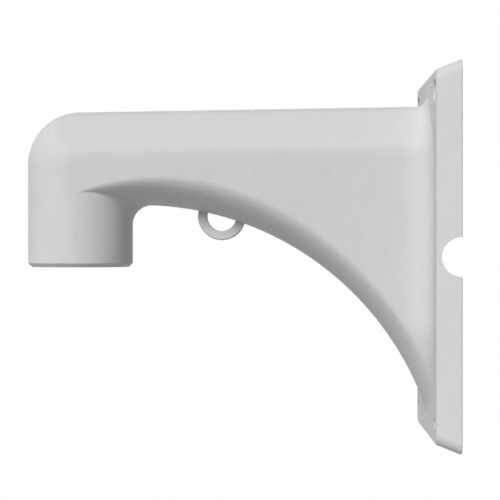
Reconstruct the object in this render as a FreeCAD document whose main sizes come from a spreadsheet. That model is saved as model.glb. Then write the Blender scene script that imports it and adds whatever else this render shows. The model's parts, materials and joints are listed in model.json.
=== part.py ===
import FreeCAD, Part
import math
import os

# Camera wall bracket: one hollow casting made of a wall flange, an arched arm, a
# down-turned collar with a pipe-thread bore and a small lanyard eye under the arm.
# Frame: origin in the middle of the flange's back face, wall plane Y = 0, arm towards
# -Y, width along X, +Z up. Lengths are millimetres and angles are degrees.

DIMENSIONS = {
    # arm section: flat walls, a slanted facet above each and a rounded crown; the
    # collar's top is a ball with the same two facets
    "collar_radius": 32.2,
    "collar_reach": 227.8,
    "crown_at_collar": 89.0,
    "crown_at_wall": 92.3,
    "shoulder_height": 63.8,
    "facet_angle": 40.0,
    "shoulder_radius": 10.0,
    # arched underside: an arc seen from the side, a rounded trough across
    "arch_radius": 186.1,
    "arch_reach": 190.7,
    "arch_drop": 154.4,
    "belly_at_collar": 17.2,
    "belly_at_wall": 9.1,
    "belly_least": 3.0,
    "belly_fall": 127.0,
    "belly_fall_angle": 2.0,
    # collar and its bore
    "rim_drop": 6.4,
    "rim_chamfer": 2.4,
    "bore_radius": 22.43,
    "thread_root_radius": 23.9,
    "thread_depth": 22.0,
    "mouth_chamfer": 1.5,
    "throat_radius": 12.0,
    "throat_fade": 0.6,
    "throat_margin": 2.2,
    # wall flange: a shallow tray with sloped edges, open at the back
    "flange_width": 120.0,
    "flange_height": 217.0,
    "flange_depth": 14.5,
    "flange_flare": 5.4,
    "flange_corner": 7.5,
    "flange_edge_round": 1.2,
    "flange_back_edge": 0.6,
    "plate_thickness": 3.0,
    "rim_thickness": 4.0,
    "joint_side_radius": 15.0,
    "joint_top_radius": 6.0,
    # wall screws, cable notch and casting wall
    "screw_span_x": 100.0,
    "screw_span_z": 194.0,
    "screw_hole_radius": 3.8,
    "screw_sink_radius": 6.5,
    "screw_sink_depth": 2.7,
    "boss_radius": 9.5,
    "notch_radius": 11.4,
    "casting_wall": 4.0,
    "floor_lift": 4.8,
    "floor_flat": 8.0,
    "floor_slope": 32.0,
    # lanyard eye, centred on the arch
    "eye_angle": 15.7,
    "eye_outer_radius": 14.7,
    "eye_inner_radius": 8.95,
    "eye_thickness": 6.0,
    "eye_edge": 0.7,
    # how far cutters and blanks run past the metal
    "overrun": 6.0,
}

# Stations round the arch, and up the core's domed end
ARCH_ANGLES = (-54, -14, 6, 34, 62, 90)
DOME_ANGLES = (0, 35, 65)
# Where the throat's edges are looked for, as shares of the collar's radius
THROAT_SHARES = (0.3, 0.5, 0.7)
# Two lengths nearer than this are taken as one
CLOSE = 0.01

X_AXIS = FreeCAD.Vector(1, 0, 0)
Y_AXIS = FreeCAD.Vector(0, 1, 0)
Z_AXIS = FreeCAD.Vector(0, 0, 1)

doc = FreeCAD.newDocument("CameraWallBracket")
sheet = doc.addObject("Spreadsheet::Sheet", "Dimensions")
for row, (alias, value) in enumerate(DIMENSIONS.items(), start=1):
    sheet.set("A%d" % row, alias)
    sheet.set("B%d" % row, repr(value))
    sheet.setAlias("B%d" % row, alias)
doc.recompute()


def size(alias):
    """Read one driving dimension from the sheet."""
    return float(sheet.get(alias))


def bind(obj, expressions):
    """Tie properties of an object to the sheet, where a word stands for its cell."""
    for prop, formula in expressions.items():
        for alias in sorted(DIMENSIONS, key=len, reverse=True):
            formula = formula.replace("{%s}" % alias, "Dimensions.%s" % alias)
        obj.setExpression(prop, formula)
    return obj


def boolean(kind, name, parts):
    """Combine solids: the first two for a cut, or all of them for a fuse or common."""
    obj = doc.addObject(kind, name)
    if kind == "Part::Cut":
        obj.Base, obj.Tool = parts
    else:
        obj.Shapes = parts
    obj.Refine = True
    doc.recompute()
    return obj


def cylinder(name, expressions, axis=Z_AXIS):
    """A round solid whose own axis is turned from Z to the given axis."""
    obj = doc.addObject("Part::Cylinder", name)
    obj.Placement.Rotation = FreeCAD.Rotation(Z_AXIS, axis)
    return bind(obj, expressions)


def box(name, expressions):
    return bind(doc.addObject("Part::Box", name), expressions)


# The arm and its core: a ball over the collar, and its outline carried on to the wall

BALL_HEIGHT = "{crown_at_collar} - {collar_radius}"
FACET_REACH = ("({collar_radius} * cos({facet_angle})"
               " + ({shoulder_height} - {crown_at_collar} + {collar_radius}) * sin({facet_angle}))")


def arm_place():
    """The ball's centre, turned so that its own Y axis follows the slope of the crown."""
    rise = (size("crown_at_wall") - size("crown_at_collar")) / size("collar_reach")
    centre = FreeCAD.Vector(0, -size("collar_reach"), size("crown_at_collar") - size("collar_radius"))
    return FreeCAD.Placement(centre, FreeCAD.Rotation(X_AXIS, math.degrees(math.atan(rise))))


def arm_section(place, inset):
    """Closed wire across the arm about the ball's centre, this far inside its surface."""
    lean = math.radians(size("facet_angle"))
    ball = size("collar_radius")
    bend = size("shoulder_radius")
    above = size("shoulder_height") - size("crown_at_collar") + ball
    facet_reach = ball * math.cos(lean) + above * math.sin(lean)
    spread = math.acos((facet_reach - bend) / (ball - bend))
    foot = size("collar_radius") - size("crown_at_collar") - size("flange_height") / 2

    def around(radius, angle, side, centre_angle=None):
        """A point on the ball's outline, or on a bend whose centre lies at an angle."""
        across = radius * math.cos(angle)
        up = radius * math.sin(angle)
        if centre_angle is not None:
            across += (ball - bend) * math.cos(centre_angle)
            up += (ball - bend) * math.sin(centre_angle)
        return FreeCAD.Vector(side * across, place, up)

    low, high = lean - spread, lean + spread
    outer, inner = ball - inset, bend - inset
    edges = [Part.makeLine(FreeCAD.Vector(-outer, place, foot), FreeCAD.Vector(outer, place, foot))]
    for side in (1, -1):
        edges += [
            Part.makeLine(FreeCAD.Vector(side * outer, place, foot), around(outer, 0, side)),
            Part.Arc(around(outer, 0, side), around(outer, low / 2, side), around(outer, low, side)).toShape(),
            Part.Arc(around(outer, low, side), around(inner, (low + lean) / 2, side, low),
                     around(inner, lean, side, low)).toShape(),
            Part.makeLine(around(inner, lean, side, low), around(inner, lean, side, high)),
            Part.Arc(around(inner, lean, side, high), around(inner, (lean + high) / 2, side, high),
                     around(outer, high, side)).toShape(),
        ]
    edges.append(Part.Arc(around(outer, high, 1), around(outer, math.pi / 2, 1),
                          around(outer, high, -1)).toShape())
    return Part.Wire(Part.sortEdges(edges)[0])


def station_loft(name, stations, ruled):
    """A solid lofted through closed wires, kept as a feature of its own."""
    obj = doc.addObject("Part::Feature", name)
    obj.Shape = Part.makeLoft(stations, True, ruled)
    return obj


def arm_run(name, start, inset):
    """The arm's section carried along the crown's slope, past the wall plane."""
    run = doc.addObject("Part::Feature", name)
    length = size("collar_reach") + size("overrun") - start
    run.Shape = Part.Face(arm_section(start, inset)).extrude(Y_AXIS * length)
    run.Placement = arm_place()
    return run


def fillet(name, base, edges, radius_at, along):
    """Fillet a chain of numbered edges, with a radius that follows a rule on places.

    The rule `along` grows or falls steadily from one end of the chain to the other. The
    chain runs the way its first edge does, and each edge gets its two radii in that order.
    """
    obj = doc.addObject("Part::Fillet", name)
    obj.Base = base
    chain = [base.Shape.Edges[number - 1] for number in edges]
    ends = [sorted((edge.valueAt(edge.FirstParameter), edge.valueAt(edge.LastParameter)), key=along)
            for edge in chain]
    lead = chain[0]
    rising = along(lead.valueAt(lead.FirstParameter)) < along(lead.valueAt(lead.LastParameter))
    obj.Edges = [
        (number, radius_at(low), radius_at(high)) if rising else (number, radius_at(high), radius_at(low))
        for number, (low, high) in zip(edges, ends)
    ]
    doc.recompute()
    return obj


def faceted_ball(name):
    """The front half of the ball over the collar, with its two facets and soft rims."""
    lean = math.radians(size("facet_angle"))
    body = bind(doc.addObject("Part::Sphere", name + "_ball"), {"Radius": "{collar_radius}"})
    # the sphere's seam is turned to the back, clear of both facets
    body.Placement.Rotation = FreeCAD.Rotation(X_AXIS, Y_AXIS)
    for side, word in ((1, "right"), (-1, "left")):
        facet = cylinder(name + "_facet_" + word, {
            "Radius": "{collar_radius}",
            "Height": "{collar_radius}",
            "Placement.Base.x": "%d * cos({facet_angle}) * " % side + FACET_REACH,
            "Placement.Base.z": "sin({facet_angle}) * " + FACET_REACH,
        }, FreeCAD.Vector(side * math.cos(lean), 0, math.sin(lean)))
        body = boolean("Part::Cut", name + "_flat_" + word, [body, facet])
    rims = [number for number, edge in enumerate(body.Shape.Edges, start=1)
            if edge.Length > CLOSE and edge.isClosed()]
    soft = fillet(name + "_soft", body, rims, lambda point: size("shoulder_radius"),
                  along=lambda point: point.y)
    front = box(name + "_front", {
        "Length": "{collar_radius} * 4",
        "Width": "{collar_radius} * 2",
        "Height": "{collar_radius} * 4",
        "Placement.Base.x": "-{collar_radius} * 2",
        "Placement.Base.y": "-{collar_radius} * 2",
        "Placement.Base.z": "-{collar_radius} * 2",
    })
    half = boolean("Part::MultiCommon", name, [soft, front])
    half.Placement = arm_place()
    return half


def arm_shape(name):
    """The arm without its arch: a post, the faceted ball on it and the straight run."""
    # the post's foot stays within the belly cutter, which takes it away, even a wall further out
    post_foot = ("(({collar_reach} + {collar_radius} + {casting_wall} - {arch_reach})"
                 " / tan(%d) - {arch_drop})" % -ARCH_ANGLES[0])
    post = cylinder(name + "_post", {
        "Radius": "{collar_radius}",
        "Height": BALL_HEIGHT + " - " + post_foot,
        "Placement.Base.y": "-{collar_reach}",
        "Placement.Base.z": post_foot,
    })
    heel = box(name + "_heel", {
        "Length": "{collar_radius} * 2",
        "Width": "{overrun}",
        "Height": BALL_HEIGHT + " - " + post_foot,
        "Placement.Base.x": "-{collar_radius}",
        "Placement.Base.y": "-{collar_reach}",
        "Placement.Base.z": post_foot,
    })
    floor = box(name + "_space", {
        "Length": "{collar_reach} * 2",
        "Width": "{collar_reach} * 2",
        "Height": "{collar_reach} * 2",
        "Placement.Base.x": "-{collar_reach}",
        "Placement.Base.y": "{overrun} - {collar_reach} * 2",
        "Placement.Base.z": "{flange_corner} - {flange_height} / 2",
    })
    whole = boolean("Part::MultiFuse", name + "_whole",
                    [post, heel, faceted_ball(name + "_nose"), arm_run(name + "_run", 0, 0)])
    return boolean("Part::MultiCommon", name, [whole, floor])


# Pulls of the belly curve's handles: at the side wall and at the keel in the middle
WALL_PULL = 0.42
KEEL_PULL = 0.45


def belly_cutter(name):
    """Everything under the arm's arched belly, lofted through stations on the arch."""
    half_width = size("collar_radius")
    keel_radius = size("arch_radius")
    inner_radius = size("overrun")
    centre = FreeCAD.Vector(0, -size("arch_reach"), -size("arch_drop"))
    side = half_width + size("overrun")
    stations = []
    for angle in ARCH_ANGLES:
        turn = math.radians(angle)
        outward = FreeCAD.Vector(0, math.sin(turn), math.cos(turn))
        share = max(0.0, math.sin(turn)) ** 2
        depth = size("belly_at_collar") + share * (size("belly_at_wall") - size("belly_at_collar"))
        # over the collar's back the trough runs out
        past = max(0.0, math.sin(math.radians(size("belly_fall_angle")) - turn))
        depth = max(size("belly_least"), depth - size("belly_fall") * past ** 2)

        def place(x, radius):
            return centre + X_AXIS * x + outward * radius

        top = keel_radius + depth
        belly = []
        for side_sign in (1, -1):
            quarter = Part.BezierCurve()
            quarter.setPoles([
                place(side_sign * half_width, top),
                place(side_sign * half_width, top - WALL_PULL * depth),
                place(side_sign * half_width * KEEL_PULL, keel_radius),
                place(0, keel_radius),
            ])
            belly.append(quarter.toShape())
        corners = [
            place(-half_width, top),
            place(-side, top),
            place(-side, inner_radius),
            place(side, inner_radius),
            place(side, top),
            place(half_width, top),
        ]
        edges = [Part.makeLine(corners[i], corners[i + 1]) for i in range(len(corners) - 1)]
        stations.append(Part.Wire(Part.sortEdges(edges + belly)[0]))
    return station_loft(name, stations, False)


def edge_near(shape, point):
    """Number of the edge that passes closest to a point."""
    probe = Part.Vertex(point)
    gaps = [edge.distToShape(probe)[0] for edge in shape.Edges]
    return gaps.index(min(gaps)) + 1


# Half of the arm, with the arch cut out of its underside

half_space = box("half_space", {
    "Length": "{collar_reach}",
    "Width": "{collar_reach} * 2",
    "Height": "{collar_reach} * 2",
    "Placement.Base.y": "-{collar_reach} * 2",
    "Placement.Base.z": "-{collar_reach}",
})
arm_half = boolean("Part::MultiCommon", "arm_half", [arm_shape("arm_outer"), half_space])
arm_arched = boolean("Part::Cut", "arm_arched", [arm_half, belly_cutter("belly")])

# Collar, with the throat where the arm's belly runs into it

collar_blank = cylinder("collar_blank", {
    "Radius": "{collar_radius}",
    "Height": "{rim_drop} + {shoulder_height} - {shoulder_radius}",
    "Placement.Base.y": "-{collar_reach}",
    "Placement.Base.z": "-{rim_drop}",
})
collar_half = boolean("Part::MultiCommon", "collar_half", [collar_blank, half_space])
hook = boolean("Part::MultiFuse", "hook", [arm_arched, collar_half])
throat_slab = box("throat_slab", {
    "Length": "{collar_radius} - {throat_margin}",
    "Width": "{collar_reach} * 2",
    "Height": "{collar_reach} * 2",
    "Placement.Base.y": "-{collar_reach} * 1.5",
    "Placement.Base.z": "-{collar_reach}",
})
hook_middle = boolean("Part::MultiCommon", "hook_middle", [hook, throat_slab])
hook_side = boolean("Part::Cut", "hook_side", [hook, throat_slab])


def throat_radius(point):
    """Full at the middle of the arm, fading to almost nothing near its side wall."""
    share = min(1.0, point.x / (size("collar_radius") - size("throat_margin")))
    return size("throat_radius") + share * (size("throat_fade") - size("throat_radius"))


throat_edges = []
for share in THROAT_SHARES:
    across = size("collar_radius") * share
    behind = math.sqrt(size("collar_radius") ** 2 - across ** 2)
    depth = size("belly_at_collar") * (1 - math.sqrt(1 - share ** 2))
    place = FreeCAD.Vector(across, behind - size("collar_reach"),
                           size("arch_radius") - size("arch_drop") + depth)
    number = edge_near(hook_middle.Shape, place)
    if number not in throat_edges:
        throat_edges.append(number)
throat = fillet("throat", hook_middle, throat_edges, throat_radius, along=lambda point: point.x)
hook_smooth = boolean("Part::MultiFuse", "hook_smooth", [throat, hook_side])

# Flange: front and back outlines joined by sloped edges, with a thin rounded front edge


def sloped_plate(name, start, reach, corner):
    """A plate from this far in front of the wall to the wall, with sloped, rounded edges.

    The margin `reach` is how far its edges stand outside the flange's front outline there.
    """
    wedge = bind(doc.addObject("Part::Wedge", name + "_wedge"), {
        "Xmin": "-{flange_width} / 2 - (" + reach[0] + ")",
        "Xmax": "{flange_width} / 2 + (" + reach[0] + ")",
        "Zmin": "-{flange_height} / 2 - (" + reach[0] + ")",
        "Zmax": "{flange_height} / 2 + (" + reach[0] + ")",
        "X2min": "-{flange_width} / 2 - (" + reach[1] + ")",
        "X2max": "{flange_width} / 2 + (" + reach[1] + ")",
        "Z2min": "-{flange_height} / 2 - (" + reach[1] + ")",
        "Z2max": "{flange_height} / 2 + (" + reach[1] + ")",
        "Ymin": "-(" + start + ")",
        "Ymax": "0",
    })
    doc.recompute()
    corners = [number for number, edge in enumerate(wedge.Shape.Edges, start=1)
               if edge.BoundBox.YLength > size("plate_thickness") / 2]
    return fillet(name, wedge, corners, lambda point: corner, along=lambda point: point.y)


flange_blank = sloped_plate("flange_blank", "{flange_depth}", ("0", "{flange_flare}"),
                            size("flange_corner"))
front_edges = [
    number for number, edge in enumerate(flange_blank.Shape.Edges, start=1)
    if edge.BoundBox.YMax < -size("flange_depth") + size("plate_thickness") / 2
]
flange_tray = fillet("flange_tray", flange_blank, front_edges,
                     lambda point: size("flange_edge_round"), along=lambda point: point.z)
back_edges = [
    number for number, edge in enumerate(flange_tray.Shape.Edges, start=1)
    if edge.BoundBox.YMin > -CLOSE
]
flange_eased = doc.addObject("Part::Chamfer", "flange_eased")
flange_eased.Base = flange_tray
flange_eased.Edges = [(number, size("flange_back_edge"), size("flange_back_edge"))
                      for number in back_edges]
doc.recompute()
flange_half = boolean("Part::MultiCommon", "flange_half", [flange_eased, half_space])

# Arm and flange joined, with a fillet that is small over the crown and full at the sides

casting_half_sharp = boolean("Part::MultiFuse", "casting_half_sharp", [hook_smooth, flange_half])
joint_edges = [
    number for number, edge in enumerate(casting_half_sharp.Shape.Edges, start=1)
    if abs(edge.BoundBox.YMin + size("flange_depth")) < CLOSE
    and abs(edge.BoundBox.YMax + size("flange_depth")) < CLOSE
    and edge.BoundBox.XMax < size("collar_radius") + size("plate_thickness")
    and edge.BoundBox.XMax > CLOSE
    and abs(edge.BoundBox.ZMax) < size("flange_height") / 2 - size("flange_corner")
]


def joint_radius(point):
    """Small at the crown, full from the shoulder down."""
    share = (size("crown_at_wall") - point.z) / (size("crown_at_wall") - size("shoulder_height"))
    share = min(1.0, max(0.0, share))
    return size("joint_top_radius") + share * (size("joint_side_radius") - size("joint_top_radius"))


casting_half = fillet("casting_half", casting_half_sharp, joint_edges, joint_radius,
                      along=lambda point: point.z)

casting_mirror = doc.addObject("Part::Mirroring", "casting_mirror")
casting_mirror.Source = casting_half
casting_mirror.Normal = X_AXIS
doc.recompute()
casting_solid = boolean("Part::MultiFuse", "casting_solid", [casting_half, casting_mirror])

# Core of the arm: the same faceted section one wall thinner, open to the wall and bore

core_radius = "{collar_radius} - {casting_wall}"
core_foot = "{flange_corner} - {flange_height} / 2"
core_pin = [cylinder("core_post", {
    "Radius": core_radius,
    "Height": BALL_HEIGHT + " - (" + core_foot + ")",
    "Placement.Base.y": "-{collar_reach}",
    "Placement.Base.z": core_foot,
})]
# Stacked cones whose rims lie on the ball that is one wall inside the collar's top
for lower, upper in zip(DOME_ANGLES, DOME_ANGLES[1:]):
    core_pin.append(bind(doc.addObject("Part::Cone", "core_dome_%d" % lower), {
        "Radius1": "(%s) * cos(%d)" % (core_radius, lower),
        "Radius2": "(%s) * cos(%d)" % (core_radius, upper),
        "Height": "(%s) * (sin(%d) - sin(%d))" % (core_radius, upper, lower),
        "Placement.Base.y": "-{collar_reach}",
        "Placement.Base.z": BALL_HEIGHT + " + (%s) * sin(%d)" % (core_radius, lower),
    }))
core_pin.append(box("core_passage", {
    "Length": "2 * (" + core_radius + ")",
    "Width": "{collar_reach} + {overrun}",
    "Height": "2 * {collar_reach}",
    "Placement.Base.x": "-(" + core_radius + ")",
    "Placement.Base.y": "-{collar_reach}",
    "Placement.Base.z": core_foot,
}))
core_plan = boolean("Part::MultiFuse", "core_plan", core_pin)
core_run = arm_run("core_run", -size("collar_radius"), size("casting_wall"))
core_blank = boolean("Part::MultiCommon", "core_blank", [core_run, core_plan])

# Its floor follows the arch: flat across the middle and sloped up beside it
floor_parts = [cylinder("floor_disc", {
    "Radius": "{arch_radius} + {floor_lift}",
    "Height": "{collar_radius} * 2",
    "Placement.Base.x": "-{collar_radius}",
    "Placement.Base.y": "-{arch_reach}",
    "Placement.Base.z": "-{arch_drop}",
}, X_AXIS)]
for side, name in ((1, "right"), (-1, "left")):
    flare = doc.addObject("Part::Cone", "floor_flare_" + name)
    flare.Placement.Rotation = FreeCAD.Rotation(Z_AXIS, X_AXIS * side)
    floor_parts.append(bind(flare, {
        "Radius1": "{arch_radius} + {floor_lift}",
        "Radius2": "{arch_radius} + {floor_lift} + ({collar_radius} - {floor_flat}) * tan({floor_slope})",
        "Height": "{collar_radius} - {floor_flat}",
        "Placement.Base.x": "%d * {floor_flat}" % side,
        "Placement.Base.y": "-{arch_reach}",
        "Placement.Base.z": "-{arch_drop}",
    }))
under_floor = boolean("Part::MultiFuse", "under_floor", floor_parts)
core = boolean("Part::Cut", "core", [core_blank, under_floor])

BORE_TOP = "{arch_radius} - {arch_drop} + {belly_at_collar} + {casting_wall}"
bore = cylinder("bore", {
    "Radius": "{bore_radius}",
    "Height": "{rim_drop} + " + BORE_TOP,
    "Placement.Base.y": "-{collar_reach}",
    "Placement.Base.z": "-{rim_drop}",
})
thread_bore = cylinder("thread_bore", {
    "Radius": "{thread_root_radius}",
    "Height": "{thread_depth}",
    "Placement.Base.y": "-{collar_reach}",
    "Placement.Base.z": "-{rim_drop}",
})
bore_mouth = bind(doc.addObject("Part::Cone", "bore_mouth"), {
    "Radius1": "{thread_root_radius} + {mouth_chamfer}",
    "Radius2": "{thread_root_radius}",
    "Height": "{mouth_chamfer}",
    "Placement.Base.y": "-{collar_reach}",
    "Placement.Base.z": "-{rim_drop}",
})

# Back of the flange: a tray with a screw boss in each corner, webbed to the rim

pocket = sloped_plate("pocket", "{flange_depth} - {plate_thickness}", (
    "{flange_flare} * {plate_thickness} / {flange_depth} - {rim_thickness}",
    "{flange_flare} - {rim_thickness}",
), size("flange_corner") - size("rim_thickness"))
bosses = []
screw_cuts = []
for right in (1, -1):
    for top in (1, -1):
        name = "%s_%s" % ("right" if right > 0 else "left", "top" if top > 0 else "bottom")
        across = "%d * {screw_span_x} / 2" % right
        up = "%d * {screw_span_z} / 2" % top
        bosses.append(cylinder("boss_" + name, {
            "Radius": "{boss_radius}",
            "Height": "{flange_depth}",
            "Placement.Base.x": across,
            "Placement.Base.z": up,
        }, -Y_AXIS))
        bosses.append(box("side_web_" + name, {
            "Length": "({flange_width} - {screw_span_x}) / 2 + {flange_flare}",
            "Width": "{flange_depth}",
            "Height": "{rim_thickness}",
            "Placement.Base.x": across if right > 0 else "-{flange_width} / 2 - {flange_flare}",
            "Placement.Base.y": "-{flange_depth}",
            "Placement.Base.z": up + " - {rim_thickness} / 2",
        }))
        bosses.append(box("end_web_" + name, {
            "Length": "{rim_thickness}",
            "Width": "{flange_depth}",
            "Height": "({flange_height} - {screw_span_z}) / 2 + {flange_flare}",
            "Placement.Base.x": across + " - {rim_thickness} / 2",
            "Placement.Base.y": "-{flange_depth}",
            "Placement.Base.z": up if top > 0 else "-{flange_height} / 2 - {flange_flare}",
        }))
        screw_cuts.append(cylinder("screw_hole_" + name, {
            "Radius": "{screw_hole_radius}",
            "Height": "{flange_depth}",
            "Placement.Base.x": across,
            "Placement.Base.z": up,
        }, -Y_AXIS))
        # only the upper screws sit in a counterbore
        if top > 0:
            screw_cuts.append(cylinder("screw_sink_" + name, {
                "Radius": "{screw_sink_radius}",
                "Height": "{screw_sink_depth} + {overrun}",
                "Placement.Base.x": across,
                "Placement.Base.y": "{screw_sink_depth} - {flange_depth}",
                "Placement.Base.z": up,
            }, -Y_AXIS))
boss_group = boolean("Part::MultiFuse", "boss_group", bosses)
tray_pocket = boolean("Part::Cut", "tray_pocket", [pocket, boss_group])
notch = cylinder("notch", {
    "Radius": "{notch_radius}",
    "Height": "2 * {rim_thickness} + {flange_flare} + {overrun}",
    "Placement.Base.x": "{flange_width} / 2 - 2 * {rim_thickness}",
}, X_AXIS)

# Lanyard eye: a ring under the arm, centred on the arch and rooted in the belly's wall

EYE_REACH = "{arch_reach} - {arch_radius} * sin({eye_angle})"
EYE_HEIGHT = "{arch_radius} * cos({eye_angle}) - {arch_drop}"


def eye_disc(name, radius):
    return cylinder(name, {
        "Radius": radius,
        "Height": "{eye_thickness}",
        "Placement.Base.x": "-{eye_thickness} / 2",
        "Placement.Base.y": "-(" + EYE_REACH + ")",
        "Placement.Base.z": EYE_HEIGHT,
    }, X_AXIS)


eye_ring = boolean("Part::Cut", "eye_ring", [eye_disc("eye_disc", "{eye_outer_radius}"),
                                              eye_disc("eye_hole", "{eye_inner_radius}")])
eye_rims = [number for number, edge in enumerate(eye_ring.Shape.Edges, start=1)
            if isinstance(edge.Curve, Part.Circle)]
eye_eased = doc.addObject("Part::Chamfer", "eye_eased")
eye_eased.Base = eye_ring
eye_eased.Edges = [(number, size("eye_edge"), size("eye_edge")) for number in eye_rims]
eye_seat = cylinder("eye_seat", {
    "Radius": "{arch_radius} + {casting_wall} / 2",
    "Height": "{eye_thickness} + {overrun}",
    "Placement.Base.x": "-({eye_thickness} + {overrun}) / 2",
    "Placement.Base.y": "-{arch_reach}",
    "Placement.Base.z": "-{arch_drop}",
}, X_AXIS)
lanyard_eye = boolean("Part::MultiCommon", "lanyard_eye", [eye_eased, eye_seat])

# The finished casting

hollows = boolean("Part::MultiFuse", "hollows",
                  [core, bore, thread_bore, bore_mouth, tray_pocket, notch] + screw_cuts)
casting_hollow = boolean("Part::Cut", "casting_hollow", [casting_solid, hollows])
casting_eyed = boolean("Part::MultiFuse", "casting_eyed", [casting_hollow, lanyard_eye])
rim_edges = [
    number for number, edge in enumerate(casting_eyed.Shape.Edges, start=1)
    if abs(edge.BoundBox.ZMin + size("rim_drop")) < CLOSE
    and abs(edge.BoundBox.ZMax + size("rim_drop")) < CLOSE
    and edge.BoundBox.DiagonalLength > size("rim_chamfer")
    and abs(math.hypot(edge.Vertexes[0].X, edge.Vertexes[0].Y + size("collar_reach"))
            - size("collar_radius")) < CLOSE
]
bracket = doc.addObject("Part::Chamfer", "bracket_casting")
bracket.Label = "bracket_casting"
bracket.Base = casting_eyed
bracket.Edges = [(number, size("rim_chamfer"), size("rim_chamfer")) for number in rim_edges]
bracket.Placement = FreeCAD.Placement()
doc.recompute()

for obj in doc.Objects:
    if "Invalid" in obj.State or "Error" in obj.State:
        raise RuntimeError("%s did not recompute: %s" % (obj.Name, obj.State))
nodes = [bracket]
os.makedirs("parts", exist_ok=True)
for node in nodes:
    if node.Shape.isNull() or not node.Shape.isValid() or len(node.Shape.Solids) != 1:
        raise RuntimeError("%s is not one valid solid" % node.Label)
    node.Shape.exportStep("parts/%s.step" % node.Label)
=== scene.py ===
"""Camera wall bracket: a grey powder-coated casting with a tapped collar, in a white studio."""

import json
import logging
import math
from dataclasses import dataclass
from enum import Enum
from typing import Any, Mapping

import bpy
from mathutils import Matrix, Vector

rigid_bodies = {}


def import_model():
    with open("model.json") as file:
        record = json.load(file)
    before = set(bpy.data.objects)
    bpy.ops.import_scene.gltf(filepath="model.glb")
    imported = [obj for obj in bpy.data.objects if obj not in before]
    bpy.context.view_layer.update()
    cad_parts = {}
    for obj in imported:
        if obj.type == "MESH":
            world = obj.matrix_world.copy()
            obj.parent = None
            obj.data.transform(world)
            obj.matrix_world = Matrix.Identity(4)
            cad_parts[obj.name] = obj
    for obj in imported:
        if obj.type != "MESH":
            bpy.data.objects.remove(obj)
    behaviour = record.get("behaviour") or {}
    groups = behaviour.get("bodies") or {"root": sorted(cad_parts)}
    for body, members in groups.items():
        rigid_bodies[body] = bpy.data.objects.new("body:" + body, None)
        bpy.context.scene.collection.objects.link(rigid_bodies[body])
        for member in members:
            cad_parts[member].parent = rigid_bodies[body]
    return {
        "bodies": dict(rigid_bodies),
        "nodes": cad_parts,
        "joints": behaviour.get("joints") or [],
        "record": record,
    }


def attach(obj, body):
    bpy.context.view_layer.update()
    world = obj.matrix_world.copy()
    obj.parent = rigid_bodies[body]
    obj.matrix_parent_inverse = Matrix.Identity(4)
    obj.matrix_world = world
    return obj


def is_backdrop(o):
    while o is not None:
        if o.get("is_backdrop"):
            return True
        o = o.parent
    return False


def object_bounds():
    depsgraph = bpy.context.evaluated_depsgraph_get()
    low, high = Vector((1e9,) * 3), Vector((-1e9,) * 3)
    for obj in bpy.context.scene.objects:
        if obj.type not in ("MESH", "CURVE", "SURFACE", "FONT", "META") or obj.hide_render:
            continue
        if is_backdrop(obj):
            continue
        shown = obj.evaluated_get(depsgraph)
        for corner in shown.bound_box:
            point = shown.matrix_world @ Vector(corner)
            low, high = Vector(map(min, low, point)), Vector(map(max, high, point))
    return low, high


log = logging.getLogger("camera_wall_bracket")

Triple = tuple[float, float, float]
MM = 0.001
QUARTER_TURN = math.pi / 2
NOISE_MEAN = 0.5
WHITE = 1.0


@dataclass(frozen=True)
class Layer:
    """One layer of the coating's grain.

    Its feature is in metres, its detail counts octaves, and its seed picks one pattern.
    """

    feature: float
    detail: float
    seed: float


class Grain(Enum):
    """The layers of the coating's grain: orange peel, fine specks and slow mottling."""

    PEEL = Layer(1.0 * MM, 2.0, 1.0)
    SPECK = Layer(0.5 * MM, 1.0, 5.0)
    CLOUD = Layer(14.0 * MM, 3.0, 9.0)


class Signal:
    """An output socket that takes part in arithmetic and adds its own Math nodes."""

    def __init__(self, bench: "Bench", socket: bpy.types.NodeSocket | None) -> None:
        """Keep the socket and the bench that its node stands on.

        Args:
            bench: The node tree's helper.
            socket: The output socket that this signal stands for, or None at a tree's end.
        """
        self.bench = bench
        self.socket = socket

    def _math(self, operation: str, first: Any, second: Any) -> "Signal":
        """Add one Math node.

        Args:
            operation: The Math node's operation.
            first: Signal or number for the first input.
            second: Signal or number for the second input.

        Returns:
            The node's result.
        """
        return self.bench.node("ShaderNodeMath", {"operation": operation}, {0: first, 1: second})

    def __add__(self, other: Any) -> "Signal":
        """Sum with a signal or number."""
        return self._math("ADD", self, other)

    __radd__ = __add__

    def __sub__(self, other: Any) -> "Signal":
        """Difference from a signal or number."""
        return self._math("SUBTRACT", self, other)

    def __rsub__(self, other: Any) -> "Signal":
        """Difference of a number from this signal."""
        return self._math("SUBTRACT", other, self)

    def __mul__(self, other: Any) -> "Signal":
        """Product with a signal or number."""
        return self._math("MULTIPLY", self, other)

    __rmul__ = __mul__

    def at_least(self, other: Any) -> "Signal":
        """The larger of this and a signal or number."""
        return self._math("MAXIMUM", self, other)


class Bench:
    """Adds nodes to one node tree."""

    def __init__(self, tree: bpy.types.NodeTree) -> None:
        """Start on an emptied tree.

        Args:
            tree: The shader or geometry tree to fill.
        """
        tree.nodes.clear()
        self.tree = tree

    def node(
        self,
        kind: str,
        settings: Mapping[str, Any] | None = None,
        inputs: Mapping[int | str, Any] | None = None,
        output: int | str = 0,
    ) -> Signal:
        """Add one node, with its settings first and its sockets after.

        Args:
            kind: The node's type.
            settings: Properties of the node.
            inputs: Values or signals by socket name or number.
            output: The output that the signal stands for.

        Returns:
            The chosen output.
        """
        node = self.tree.nodes.new(kind)
        for name, value in (settings or {}).items():
            setattr(node, name, value)
        for key, value in (inputs or {}).items():
            if isinstance(value, Signal):
                self.tree.links.new(value.socket, node.inputs[key])
            else:
                node.inputs[key].default_value = value
        if not node.outputs:
            return Signal(self, None)
        return Signal(self, node.outputs[output])


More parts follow.
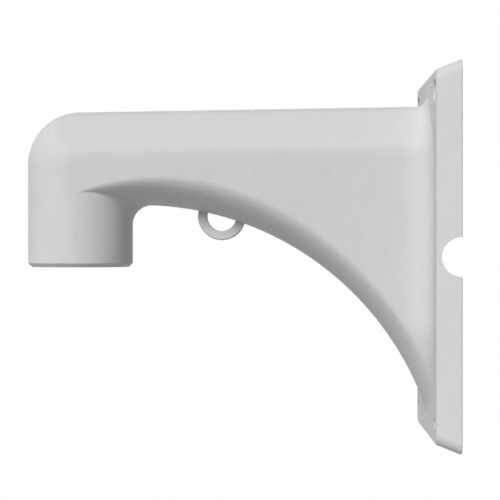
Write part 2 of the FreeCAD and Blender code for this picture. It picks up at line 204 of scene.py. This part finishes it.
def grey(value: float) -> tuple[float, float, float, float]:
    """A neutral colour of this linear value."""
    return (value, value, value, 1.0)


def seen_white(bench: Bench) -> Signal:
    """One for rays that show the backdrop: straight, in a gloss or through glass.

    Args:
        bench: The tree that asks.

    Returns:
        A signal of 0 or 1.
    """
    camera = bench.node("ShaderNodeLightPath", output="Is Camera Ray")
    glossy = bench.node("ShaderNodeLightPath", output="Is Glossy Ray")
    through = bench.node("ShaderNodeLightPath", output="Is Transmission Ray")
    return camera.at_least(glossy).at_least(through)


@dataclass(frozen=True)
class PowderCoat:
    """Light grey matt powder coating with a very fine orange peel."""

    name: str = "grey_powder_coat"
    shade: float = 0.625
    shade_swing: float = 0.024
    cloud_swing: float = 0.046
    gloss: float = 0.12
    roughness: float = 0.55
    roughness_swing: float = 0.10
    peel_height: float = 0.235 * MM
    peel_strength: float = 0.80
    speck_share: float = 0.8
    octave_share: float = 0.55

    def noise(self, bench: Bench, place: Signal, grain: Grain) -> Signal:
        """Noise centred on zero, for one layer of the grain.

        Args:
            bench: The material's bench.
            place: Object coordinates.
            grain: The layer.

        Returns:
            A signal from about -0.5 to 0.5.
        """
        layer = grain.value
        noise = bench.node(
            "ShaderNodeTexNoise",
            {"noise_dimensions": "4D"},
            {
                "Vector": place,
                "W": layer.seed,
                "Scale": 1 / layer.feature,
                "Detail": layer.detail,
                "Roughness": self.octave_share,
            },
        )
        return noise - NOISE_MEAN

    def material(self) -> bpy.types.Material:
        """Build the coating.

        Returns:
            The finished material.
        """
        material = bpy.data.materials.new(self.name)
        material.use_nodes = True
        bench = Bench(material.node_tree)
        place = bench.node("ShaderNodeTexCoord", output="Object")
        peel = self.noise(bench, place, Grain.PEEL)
        speck = self.noise(bench, place, Grain.SPECK)
        cloud = self.noise(bench, place, Grain.CLOUD)
        swing = peel * self.shade_swing + speck * self.shade_swing + cloud * self.cloud_swing
        tone = swing + self.shade
        colour = bench.node("ShaderNodeCombineColor", {}, {"Red": tone, "Green": tone, "Blue": tone})
        height = peel + speck * self.speck_share
        normal = bench.node(
            "ShaderNodeBump",
            {},
            {"Height": height, "Strength": self.peel_strength, "Distance": self.peel_height},
        )
        surface = bench.node(
            "ShaderNodeBsdfPrincipled",
            {},
            {
                "Base Color": colour,
                "Roughness": peel * self.roughness_swing + self.roughness,
                "Normal": normal,
                "Specular IOR Level": self.gloss,
            },
        )
        bench.node("ShaderNodeOutputMaterial", {}, {"Surface": surface})
        return material


@dataclass(frozen=True)
class FloorPaint:
    """Pale matt paint that glows just enough to show white where nothing shades it."""

    name: str = "pale_floor"
    shade: float = 0.5

    def material(self, light: float) -> bpy.types.Material:
        """Build the paint.

        Args:
            light: Level that the lamps and the fill together give a white floor.

        Returns:
            The finished material.
        """
        material = bpy.data.materials.new(self.name)
        material.use_nodes = True
        bench = Bench(material.node_tree)
        lit = bench.node("ShaderNodeBsdfDiffuse", {}, {"Color": grey(self.shade)})
        strength = seen_white(bench) * (WHITE - self.shade * light)
        glow = bench.node("ShaderNodeEmission", {}, {"Color": grey(WHITE), "Strength": strength})
        both = bench.node("ShaderNodeAddShader", {}, {0: lit, 1: glow})
        bench.node("ShaderNodeOutputMaterial", {}, {"Surface": both})
        return material


@dataclass
class Casting:
    """The bracket's casting: flange, arm, collar and lanyard eye in one solid."""

    node: str = "bracket_casting"
    coat: PowderCoat = PowderCoat()

    def dress(self, frame: Mapping[str, Any], coat: bpy.types.Material) -> bpy.types.Object:
        """Give the solid its coating.

        Args:
            frame: The loaded frame.
            coat: The finished coating.

        Returns:
            The dressed object.
        """
        casting = frame["nodes"][self.node]
        for slot in casting.material_slots:
            slot.material = coat
        return casting


@dataclass
class PipeThread:
    """Ridge of the pipe thread on the collar's bore, its foot buried a little in the wall."""

    axis_y: float = -227.8 * MM
    root_radius: float = 23.9 * MM
    depth: float = 1.479 * MM
    pitch: float = 2.309 * MM
    bottom: float = -4.4 * MM
    turns: float = 8.0
    bury: float = 0.05 * MM
    crest_share: float = 0.22
    foot_share: float = 0.92
    steps_per_turn: int = 72

    def tree(self) -> bpy.types.GeometryNodeTree:
        """Build the tree that sweeps a ridge along a helix.

        Returns:
            The geometry tree.
        """
        tree = bpy.data.node_groups.new("pipe_thread", "GeometryNodeTree")
        bench = Bench(tree)
        sizes = ("Turns", "Radius", "Rise", "Ridge Height", "Foot Width", "Crest Width")
        for name in sizes:
            tree.interface.new_socket(name=name, in_out="INPUT", socket_type="NodeSocketFloat")
        tree.interface.new_socket(name="Centre", in_out="INPUT", socket_type="NodeSocketVector")
        tree.interface.new_socket(name="Coating", in_out="INPUT", socket_type="NodeSocketMaterial")
        tree.interface.new_socket(name="Geometry", in_out="OUTPUT", socket_type="NodeSocketGeometry")

        def given(name: str) -> Signal:
            """The named input of the tree."""
            return bench.node("NodeGroupInput", output=name)

        helix = bench.node(
            "GeometryNodeCurveSpiral",
            {},
            {
                "Resolution": self.steps_per_turn,
                "Rotations": given("Turns"),
                "Start Radius": given("Radius"),
                "End Radius": given("Radius"),
                "Height": given("Rise"),
                "Reverse": False,
            },
        )
        upright = bench.node("GeometryNodeSetCurveNormal", {"mode": "Z_UP"}, {"Curve": helix})
        profile = bench.node(
            "GeometryNodeCurvePrimitiveQuadrilateral",
            {"mode": "TRAPEZOID"},
            {
                "Height": given("Ridge Height"),
                "Bottom Width": given("Foot Width"),
                "Top Width": given("Crest Width"),
                "Offset": 0.0,
            },
        )
        turned = bench.node(
            "GeometryNodeTransform",
            {},
            {"Geometry": profile, "Rotation": (0.0, 0.0, -QUARTER_TURN)},
        )
        ridge = bench.node(
            "GeometryNodeCurveToMesh",
            {},
            {"Curve": upright, "Profile Curve": turned, "Fill Caps": True},
        )
        placed = bench.node(
            "GeometryNodeTransform",
            {},
            {"Geometry": ridge, "Translation": given("Centre")},
        )
        real = bench.node("GeometryNodeRealizeInstances", {}, {"Geometry": placed})
        dressed = bench.node(
            "GeometryNodeSetMaterial",
            {},
            {"Geometry": real, "Material": given("Coating")},
        )
        bench.node("NodeGroupOutput", {}, {"Geometry": dressed})
        return tree

    def build(self, coat: bpy.types.Material) -> bpy.types.Object:
        """Make the thread's ridge as one plain mesh.

        Args:
            coat: The finish that it takes.

        Returns:
            The finished piece.
        """
        ridge_height = self.depth + self.bury
        values = {
            "Turns": self.turns,
            "Radius": self.root_radius + self.bury - ridge_height / 2,
            "Rise": self.turns * self.pitch,
            "Ridge Height": ridge_height,
            "Foot Width": self.pitch * self.foot_share,
            "Crest Width": self.pitch * self.crest_share,
            "Centre": (0.0, self.axis_y, self.bottom),
            "Coating": coat,
        }
        piece = grown("thread_ridge", self.tree(), values)
        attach(piece, "root")
        return piece


def grown(name: str, tree: bpy.types.GeometryNodeTree, values: Mapping[str, Any]) -> bpy.types.Object:
    """Run a geometry tree once and keep its result as a plain mesh.

    Args:
        name: Name of the piece.
        tree: The tree to run.
        values: Its inputs by name.

    Returns:
        The piece, at the origin and with no modifier left.
    """
    piece = bpy.data.objects.new(name, bpy.data.meshes.new(name + "_start"))
    bpy.context.scene.collection.objects.link(piece)
    modifier = piece.modifiers.new("grow", "NODES")
    modifier.node_group = tree
    for item in tree.interface.items_tree:
        if item.in_out == "INPUT" and item.name in values:
            modifier[item.identifier] = values[item.name]
    depsgraph = bpy.context.evaluated_depsgraph_get()
    mesh = bpy.data.meshes.new_from_object(piece.evaluated_get(depsgraph), depsgraph=depsgraph)
    mesh.name = name
    piece.modifiers.clear()
    piece.data = mesh
    return piece


@dataclass(frozen=True)
class Lamp:
    """A broad soft lamp, far away, that a gloss may show or not."""

    name: str
    comes_from: Triple
    strength: float
    angle: float
    in_gloss: bool = True

    @property
    def on_floor(self) -> float:
        """Level that this lamp alone gives a white floor."""
        return self.strength * Vector(self.comes_from).normalized().z / math.pi

    def hang(self) -> None:
        """Add the lamp to the scene."""
        lamp = bpy.data.lights.new(self.name, "SUN")
        lamp.energy = self.strength
        lamp.angle = math.radians(self.angle)
        place = bpy.data.objects.new(self.name, lamp)
        place.rotation_euler = Vector(self.comes_from).to_track_quat("Z", "Y").to_euler()
        place.visible_glossy = self.in_gloss
        bpy.context.scene.collection.objects.link(place)


@dataclass(frozen=True)
class Studio:
    """White studio: a soft key from the camera's upper left, a far side lamp, fill and a floor."""

    key: Lamp = Lamp("key", (0.71, -0.39, 0.56), 2.87, 24.0)
    far_side: Lamp = Lamp("far_side", (-0.96, -0.06, 0.24), 1.0, 24.0, False)
    fill: float = 0.185
    floor_height: float = -0.50
    floor_reach: float = 8.0
    floor_paint: FloorPaint = FloorPaint()

    def light(self) -> None:
        """Hang the lamps and set the even fill, with a white background for the camera."""
        self.key.hang()
        self.far_side.hang()
        world = bpy.data.worlds.new("studio")
        world.use_nodes = True
        bpy.context.scene.world = world
        bench = Bench(world.node_tree)
        strength = seen_white(bench) * (WHITE - self.fill) + self.fill
        backdrop = bench.node("ShaderNodeBackground", {}, {"Color": grey(WHITE), "Strength": strength})
        bench.node("ShaderNodeOutputWorld", {}, {"Surface": backdrop})

    def lay_floor(self) -> bpy.types.Object:
        """Lay the pale floor, well below the bracket.

        Returns:
            The floor.
        """
        reach = self.floor_reach
        mesh = bpy.data.meshes.new("floor")
        corners = [(-reach, -reach), (reach, -reach), (reach, reach), (-reach, reach)]
        mesh.from_pydata([(x, y, self.floor_height) for x, y in corners], [], [(0, 1, 2, 3)])
        floor = bpy.data.objects.new("floor", mesh)
        bpy.context.scene.collection.objects.link(floor)
        light = self.key.on_floor + self.far_side.on_floor + self.fill
        mesh.materials.append(self.floor_paint.material(light))
        floor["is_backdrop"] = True
        return floor


@dataclass(frozen=True)
class SideCamera:
    """Camera at the photograph's viewing angle, level and square to the bracket's side."""

    place: Triple = (0.900, -0.102, 0.005)
    target: Triple = (0.0, -0.123, 0.004)
    lens_mm: float = 105.0
    sensor_mm: float = 36.0
    nearest: float = 0.01

    def set_up(self) -> bpy.types.Object:
        """Place the camera and make it the scene's own.

        Returns:
            The camera.
        """
        lens = bpy.data.cameras.new("side_camera")
        lens.lens = self.lens_mm
        lens.sensor_width = self.sensor_mm
        lens.clip_start = self.nearest
        camera = bpy.data.objects.new("side_camera", lens)
        camera.location = self.place
        look = Vector(self.target) - Vector(self.place)
        camera.rotation_euler = look.to_track_quat("-Z", "Y").to_euler()
        bpy.context.scene.collection.objects.link(camera)
        bpy.context.scene.camera = camera
        return camera


def main(frame: Mapping[str, Any]) -> None:
    """Dress the casting, add the thread, and set up the studio and the camera.

    Args:
        frame: The loaded frame.
    """
    logging.basicConfig(level=logging.INFO, format="%(name)s: %(message)s")
    solid_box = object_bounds()
    bpy.context.scene.view_settings.view_transform = "Standard"
    casting = Casting()
    coat = casting.coat.material()
    log.info("casting: %s", casting.dress(frame, coat).name)
    log.info("thread: %s", PipeThread().build(coat).name)
    studio = Studio()
    studio.light()
    log.info("floor: %s", studio.lay_floor().name)
    log.info("camera: %s", SideCamera().set_up().name)
    sizes = {"cad": solid_box, "visual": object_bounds()}
    {name: plain(value) for name, value in sizes.items()}


def plain(value: Any) -> Any:
    """A box as nested lists of plain numbers.

    Args:
        value: A number, or a sequence of such values.

    Returns:
        The same as plain floats and lists.
    """
    if hasattr(value, "__len__"):
        return [plain(entry) for entry in value]
    return float(value)


if __name__ == "__main__":
    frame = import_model()
    main(frame)
